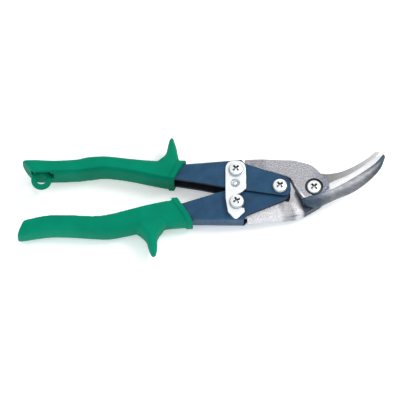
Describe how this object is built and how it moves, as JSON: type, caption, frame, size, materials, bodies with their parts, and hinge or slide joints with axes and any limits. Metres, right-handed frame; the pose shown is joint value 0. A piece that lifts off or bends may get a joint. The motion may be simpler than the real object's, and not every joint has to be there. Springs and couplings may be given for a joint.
{
  "type": "aviation snips",
  "caption": "Offset compound-action aviation snips with dipped grips, a thumb latch and jaws driven through a toggle linkage.",
  "frame": {"origin": "middle of the footprint on the plane the snips lie on, back (nut side) down", "axes": "+X from the grips towards the jaws, +Z along the pivot axes from the nuts to the screw heads, +Y towards the upper handle"},
  "size_m": [0.235, 0.082, 0.0234],
  "materials": {
    "blade_steel": "forged and blasted body with ground cutting faces",
    "blue_paint": "satin baked enamel",
    "green_vinyl": "soft satin vinyl",
    "zinc_plate": "bright zinc plate",
    "spring_steel": "oil-tempered wire"
  },
  "bodies": {
    "front_blade_body": {"front_blade": "blade_steel", "main_pivot_bolt": "zinc_plate", "main_pivot_nut": "zinc_plate", "main_pivot_washer": "zinc_plate", "upper_link_washer": "zinc_plate"},
    "rear_blade_body": {"rear_blade": "blade_steel", "lower_link_washer": "zinc_plate"},
    "upper_handle_body": {"upper_handle": "blue_paint", "upper_grip": "green_vinyl", "upper_link_bolt": "zinc_plate", "upper_link_nut": "zinc_plate", "handle_pivot_bolt": "zinc_plate", "handle_pivot_nut": "zinc_plate", "handle_pivot_bushing": "spring_steel", "opening_spring": "spring_steel"},
    "lower_handle_body": {"lower_handle": "blue_paint", "lower_grip": "green_vinyl", "lower_link_bolt": "zinc_plate", "lower_link_nut": "zinc_plate"},
    "latch_body": {"latch": "zinc_plate"}
  },
  "joints": [
    {"name": "jaw_pivot", "type": "hinge", "parent": "front_blade_body", "child": "rear_blade_body", "pos_m": [0.07228, 0.00475, 0.00619], "axis": [0, 0, 1], "range_deg": [0, 20], "deforming": ["opening_spring"]},
    {"name": "upper_link_pivot", "type": "hinge", "parent": "front_blade_body", "child": "upper_handle_body", "pos_m": [0.02213, 0.01527, 0.00619], "axis": [0, 0, 1], "range_deg": [-9, 0]},
    {"name": "lower_link_pivot", "type": "hinge", "parent": "rear_blade_body", "child": "lower_handle_body", "pos_m": [0.02252, -0.00752, 0.00619], "axis": [0, 0, 1], "range_deg": [0, 9]},
    {"name": "latch_pivot", "type": "hinge", "parent": "upper_handle_body", "child": "latch_body", "pos_m": [0.02213, 0.01527, 0.00619], "axis": [0, 0, 1], "range_deg": [-75, 0]}
  ],
  "couplings": [
    {"joint": "upper_link_pivot", "follows": "jaw_pivot", "ratio": -0.4406},
    {"joint": "lower_link_pivot", "follows": "jaw_pivot", "ratio": 0.4406},
    {"joint": "latch_pivot", "follows": "jaw_pivot", "ratio": -3.75}
  ]
}
